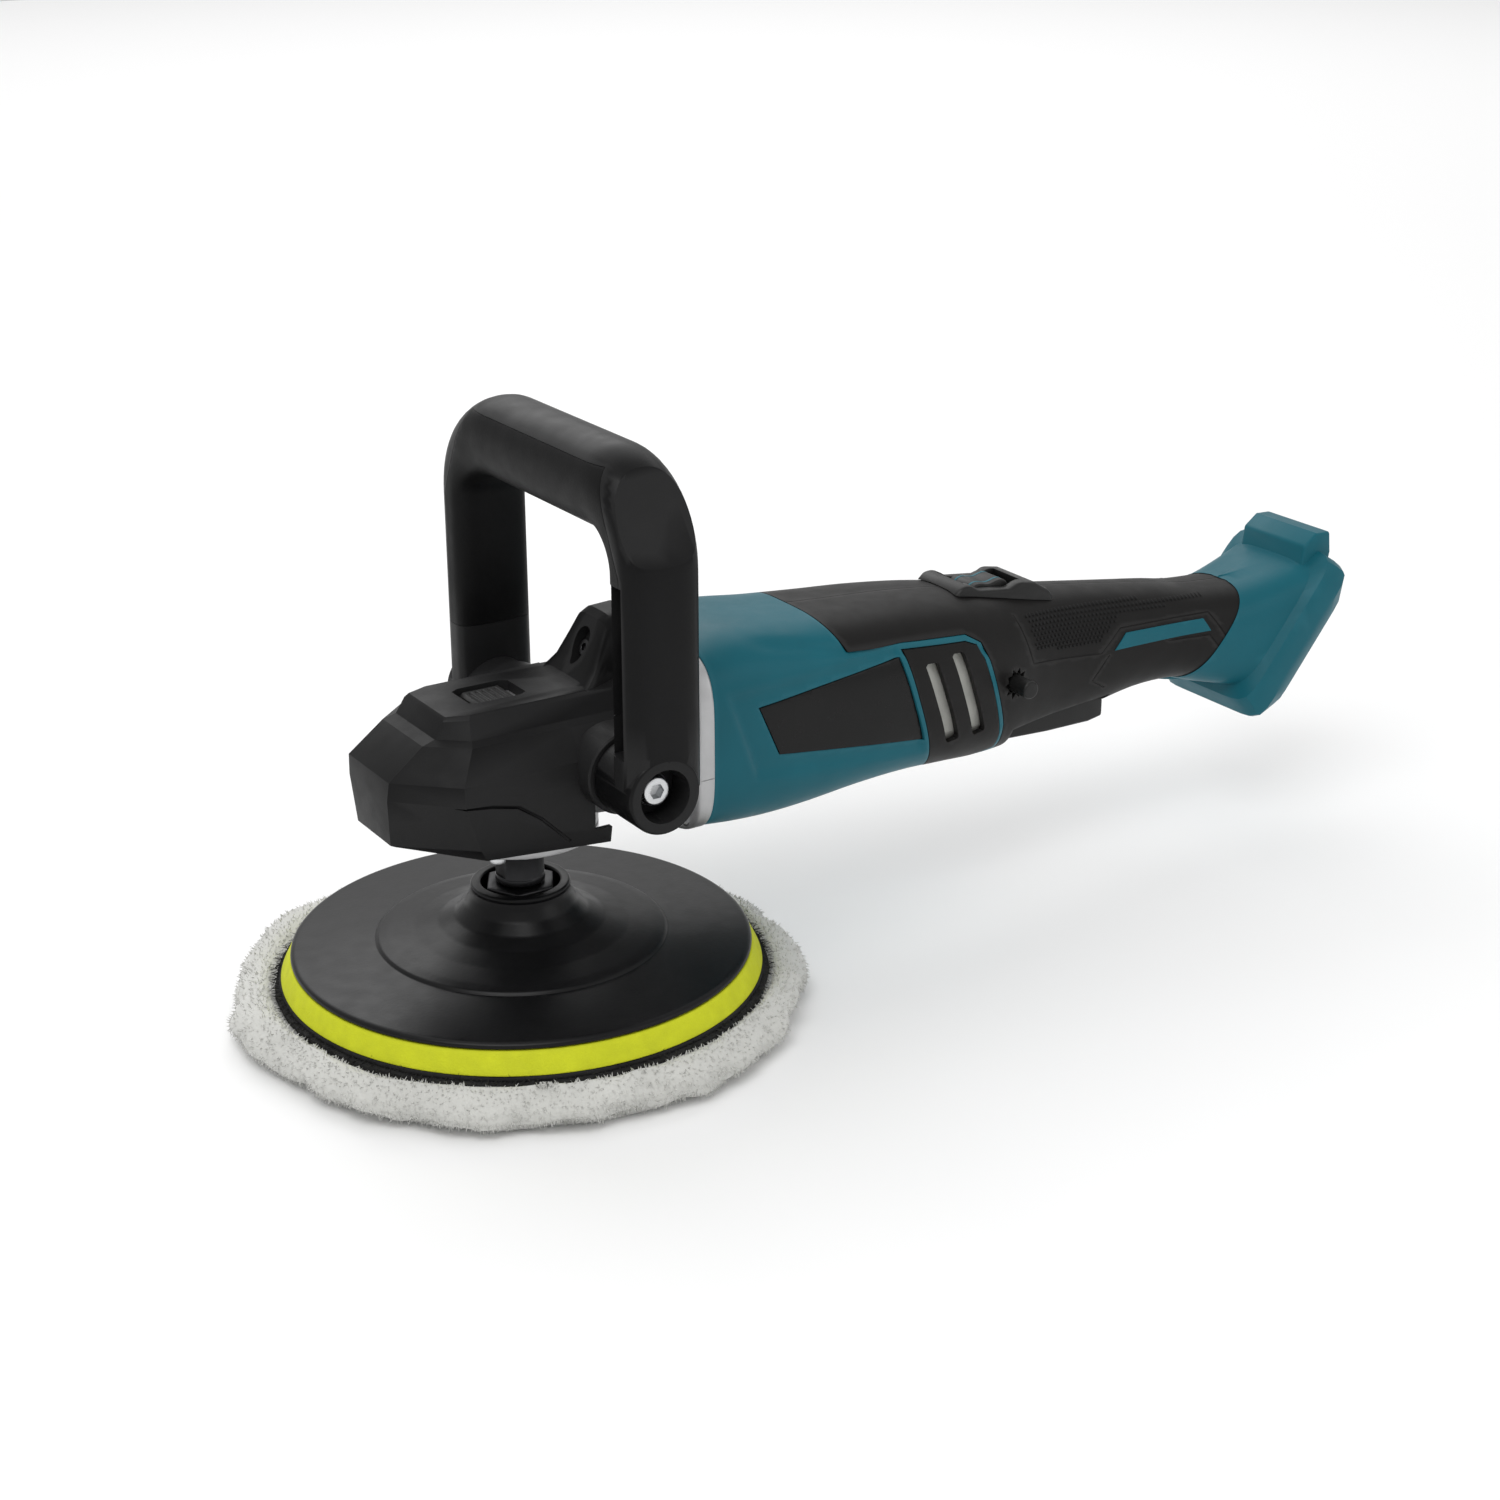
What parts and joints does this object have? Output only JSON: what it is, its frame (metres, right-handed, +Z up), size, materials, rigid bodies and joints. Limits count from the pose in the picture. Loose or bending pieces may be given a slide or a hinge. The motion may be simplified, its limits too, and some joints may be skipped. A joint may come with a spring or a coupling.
{
  "type": "rotary polisher",
  "caption": "Cordless rotary polisher: a fleece pad on a right-angle gear head, trigger grip, swinging loop handle and battery slide mount, shown without its battery.",
  "frame": {"origin": "centre of the fleece pad's working face, on the spindle axis", "axes": "+Z up along the spindle, +X from the gear head towards the battery mount, -Y towards the side that carries the lock-on button"},
  "size_m": [0.5022, 0.22, 0.224],
  "materials": {
    "fleece": "off-white wool fleece",
    "pad_backing": "black woven backing",
    "hook": "black hook and loop layer",
    "foam": "yellow open-cell foam",
    "plate_black": "black moulded plastic, satin",
    "steel": "bright machined steel",
    "dark_steel": "black oxide steel",
    "aluminium": "cast and machined aluminium",
    "boot_rubber": "black moulded rubber",
    "grip_rubber": "black soft overmould",
    "handle_black": "black glass-filled nylon",
    "teal": "teal moulded plastic",
    "shell_black": "black textured plastic",
    "badge": "blank gloss black label",
    "mesh": "fine wire dust mesh",
    "control": "black moulded plastic",
    "board": "green circuit board",
    "copper": "lacquered copper winding",
    "terminal": "plated contact blades"
  },
  "bodies": {
    "body": {"spindle_lower_bearing": "steel", "spindle_upper_bearing": "steel", "motor_front_bearing": "steel", "motor_rear_bearing": "steel", "bearing_cover": "aluminium", "bearing_cover_screw_1": "steel", "bearing_cover_screw_2": "steel", "bearing_cover_screw_3": "steel", "bearing_cover_screw_4": "steel", "gear_case": "aluminium", "gear_case_screw_1": "steel", "gear_case_screw_2": "steel", "gear_case_screw_3": "steel", "gear_case_screw_4": "steel", "head_cover": "boot_rubber", "spindle_lock_spring": "steel", "handle_bolt_left": "steel", "handle_bolt_right": "steel", "motor_housing": "teal", "nameplate_right": "badge", "nameplate_left": "badge", "vent_panel_right": "shell_black", "vent_panel_left": "shell_black", "filter_mesh_right": "mesh", "filter_mesh_left": "mesh", "handle_shell_left": "shell_black", "handle_shell_right": "shell_black", "handle_shell_screw_1": "steel", "handle_shell_screw_2": "steel", "handle_shell_screw_3": "steel", "trigger_pin": "steel", "trigger_spring": "steel", "lock_on_spring": "steel", "switch_module": "control", "controller_board": "board", "dial_bezel": "control", "stator": "copper", "motor_end_plate": "plate_black", "battery_mount": "teal", "terminal_block": "control", "battery_terminals": "terminal"},
    "spindle_assembly": {"wool_pad": "fleece", "wool_pad_backing": "pad_backing", "hook_layer": "hook", "foam_layer": "foam", "backing_plate": "plate_black", "plate_insert_nut": "steel", "spindle": "dark_steel", "ring_gear": "steel"},
    "rotor": {"rotor_core": "steel", "rotor_shaft": "steel", "cooling_fan": "plate_black", "pinion_gear": "steel"},
    "loop_handle": {"loop_handle": "handle_black", "loop_handle_grip": "grip_rubber"},
    "trigger": {"trigger": "control"},
    "lock_on_button": {"lock_on_button": "control"},
    "spindle_lock": {"spindle_lock_button": "control", "spindle_lock_pin": "steel"},
    "speed_dial": {"speed_dial": "control"}
  },
  "joints": [
    {"name": "spindle_spin", "type": "hinge", "parent": "body", "child": "spindle_assembly", "pos_m": [0, 0, 0.104], "axis": [0, 0, 1], "continuous": true},
    {"name": "rotor_spin", "type": "hinge", "parent": "body", "child": "rotor", "pos_m": [0.1, 0, 0.104], "axis": [1, 0, 0], "continuous": true},
    {"name": "loop_handle_swing", "type": "hinge", "parent": "body", "child": "loop_handle", "pos_m": [0.0214, 0, 0.1045], "axis": [0, 1, 0], "range_deg": [-45, 30]},
    {"name": "trigger_squeeze", "type": "hinge", "parent": "body", "child": "trigger", "pos_m": [0.216, 0, 0.07], "axis": [0, -1, 0], "range_deg": [0, 6], "stiffness_Nm_per_rad": 1, "springref_deg": -5.73, "deforming": ["trigger_spring"]},
    {"name": "lock_on_press", "type": "slide", "parent": "body", "child": "lock_on_button", "axis": [0, 1, 0], "range_m": [0, 0.004], "stiffness_N_per_m": 400, "springref_m": -0.002, "deforming": ["lock_on_spring"]},
    {"name": "spindle_lock_press", "type": "slide", "parent": "body", "child": "spindle_lock", "axis": [0, 0, -1], "range_m": [0, 0.0032], "stiffness_N_per_m": 600, "springref_m": -0.002, "deforming": ["spindle_lock_spring"]},
    {"name": "speed_dial_turn", "type": "hinge", "parent": "body", "child": "speed_dial", "pos_m": [0.211, 0, 0.1188], "axis": [0, 1, 0], "range_deg": [0, 270]}
  ],
  "couplings": [
    {"joint": "rotor_spin", "follows": "spindle_spin", "ratio": -4}
  ]
}
